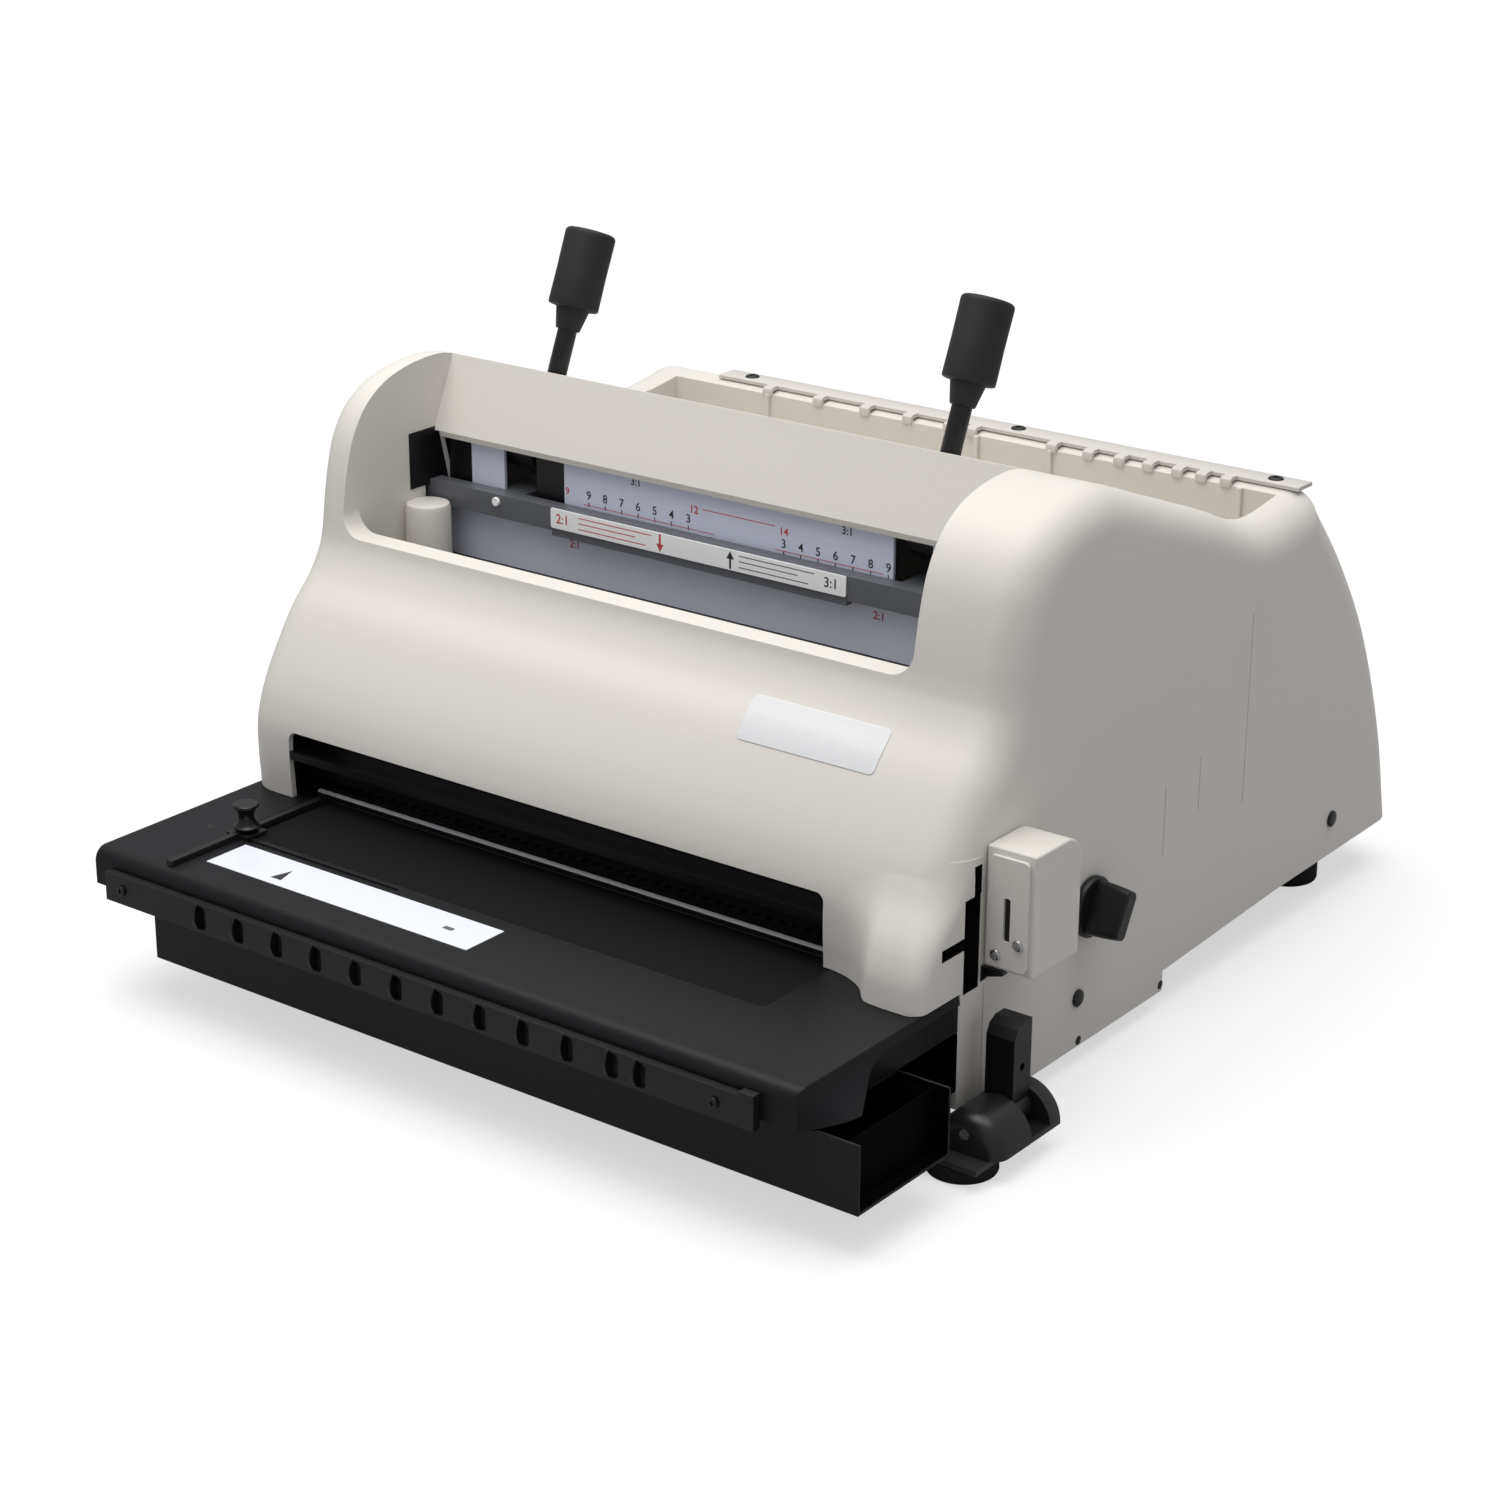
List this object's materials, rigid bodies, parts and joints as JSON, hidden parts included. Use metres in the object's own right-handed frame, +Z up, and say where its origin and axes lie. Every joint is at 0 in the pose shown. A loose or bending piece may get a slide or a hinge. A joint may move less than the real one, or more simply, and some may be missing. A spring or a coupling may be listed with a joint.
{
  "type": "binding machine",
  "caption": "Desk machine that punches sheets and closes wire bindings, with two closing levers, a work table, a pull-out punching tool and a chip drawer.",
  "frame": {"origin": "centre of the footprint at the level of the feet", "axes": "+Z up, +X to the right along the paper slot, +Y from the table to the back"},
  "size_m": [0.534, 0.6322, 0.3918],
  "materials": {
    "casing": "lightly textured cream moulding",
    "panels": "satin grey sheet steel",
    "rubber_feet": "matt black rubber",
    "dark_metal": "dark satin paint",
    "black_plastic": "black moulded plastic",
    "label_white": "matt white printed sheet",
    "steel": "ground steel"
  },
  "bodies": {
    "chassis": {"main_cover": "casing", "size_gauge": "steel", "foot_rear_left": "rubber_feet", "foot_rear_right": "rubber_feet", "foot_front_left": "rubber_feet", "foot_front_right": "rubber_feet", "base_plate": "dark_metal", "foot_beam": "dark_metal", "frame_left": "dark_metal", "frame_right": "dark_metal", "table_carrier": "dark_metal", "die_bed": "dark_metal", "work_table": "black_plastic", "scale_strip": "label_white", "wire_holder_bar": "black_plastic", "chip_sleeve": "black_plastic", "chip_chute": "dark_metal", "motor": "dark_metal", "motor_cradle": "dark_metal", "scale_plate": "panels", "wire_backplate": "panels", "anvil_shelf": "dark_metal", "tool_end_cover": "casing", "end_cover_plate": "casing", "gauge_screw_1": "steel", "gauge_screw_2": "steel", "gauge_screw_3": "steel", "holder_screw_1": "steel", "holder_screw_2": "steel", "end_cover_screw_1": "steel", "end_cover_screw_2": "steel", "lock_housing": "black_plastic", "lock_pin": "steel", "case_screw_1": "black_plastic", "case_screw_2": "black_plastic", "power_inlet": "black_plastic"},
    "closing_levers": {"lever_shaft": "steel", "lever_block_left": "black_plastic", "lever_rod_left": "black_plastic", "lever_grip_left": "black_plastic", "lever_block_right": "black_plastic", "lever_rod_right": "black_plastic", "lever_grip_right": "black_plastic"},
    "closing_bar": {"closing_bar": "dark_metal", "bar_label": "label_white"},
    "punch_tool": {"die_plate": "steel", "guide_block": "dark_metal"},
    "punch_comb": {"punch_comb": "steel"},
    "press_beam": {"press_beam": "dark_metal"},
    "press_shaft": {"press_shaft": "steel", "drive_gear": "steel"},
    "idler_gear": {"idler_gear": "steel"},
    "motor_rotor": {"motor_pinion": "steel"},
    "margin_knob": {"margin_knob": "black_plastic", "margin_cam": "steel"},
    "depth_stop": {"depth_stop": "steel"},
    "chip_drawer": {"chip_drawer": "black_plastic"},
    "edge_guide": {"edge_guide": "black_plastic"},
    "guide_clamp_knob": {"guide_clamp_knob": "black_plastic"},
    "tool_lock_lever": {"tool_lock_lever": "black_plastic"}
  },
  "joints": [
    {"name": "lever_swing", "type": "hinge", "parent": "chassis", "child": "closing_levers", "pos_m": [-0.039, -0.02207, 0.27], "axis": [-1, 0, 0], "range_deg": [0, 42]},
    {"name": "bar_close", "type": "slide", "parent": "chassis", "child": "closing_bar", "axis": [0, 0, -1], "range_m": [0, 0.01201]},
    {"name": "press_turn", "type": "hinge", "parent": "chassis", "child": "press_shaft", "pos_m": [-0.039, -0.13206, 0.1724], "axis": [1, 0, 0], "range_deg": [0, 170.5]},
    {"name": "beam_press", "type": "slide", "parent": "chassis", "child": "press_beam", "axis": [0, 0, -1], "range_m": [0, 0.00755]},
    {"name": "tool_slide", "type": "slide", "parent": "chassis", "child": "punch_tool", "axis": [1, 0, 0], "range_m": [0, 0.4]},
    {"name": "comb_press", "type": "slide", "parent": "punch_tool", "child": "punch_comb", "axis": [0, 0, -1], "range_m": [0, 0.0077]},
    {"name": "idler_turn", "type": "hinge", "parent": "chassis", "child": "idler_gear", "pos_m": [-0.039, -0.0928, 0.13946], "axis": [1, 0, 0], "range_deg": [-121, 0]},
    {"name": "pinion_turn", "type": "hinge", "parent": "chassis", "child": "motor_rotor", "pos_m": [-0.039, -0.05455, 0.12776], "axis": [1, 0, 0], "range_deg": [0, 362]},
    {"name": "margin_turn", "type": "hinge", "parent": "chassis", "child": "margin_knob", "pos_m": [-0.039, -0.05007, 0.092], "axis": [-1, 0, 0], "range_deg": [0, 270.5]},
    {"name": "depth_slide", "type": "slide", "parent": "chassis", "child": "depth_stop", "axis": [0, -1, 0], "range_m": [0, 0.0035]},
    {"name": "drawer_slide", "type": "slide", "parent": "chassis", "child": "chip_drawer", "axis": [1, 0, 0], "range_m": [0, 0.3]},
    {"name": "guide_slide", "type": "slide", "parent": "chassis", "child": "edge_guide", "axis": [1, 0, 0], "range_m": [0, 0.11]},
    {"name": "clamp_turn", "type": "hinge", "parent": "edge_guide", "child": "guide_clamp_knob", "pos_m": [-0.2105, -0.24157, 0.09], "axis": [0, 0, 1], "range_deg": [0, 180]},
    {"name": "lock_swing", "type": "hinge", "parent": "chassis", "child": "tool_lock_lever", "pos_m": [0.2455, -0.15707, 0.023], "axis": [0, 1, 0], "range_deg": [0, 60]}
  ],
  "couplings": [
    {"joint": "bar_close", "follows": "lever_swing", "m_per_rad": 0.01637},
    {"joint": "press_turn", "follows": "beam_press", "rad_per_m": 392.7},
    {"joint": "comb_press", "follows": "beam_press", "ratio": 1},
    {"joint": "idler_turn", "follows": "beam_press", "rad_per_m": -278.16},
    {"joint": "pinion_turn", "follows": "beam_press", "rad_per_m": 834.49},
    {"joint": "margin_turn", "follows": "depth_slide", "rad_per_m": 1346.4}
  ]
}
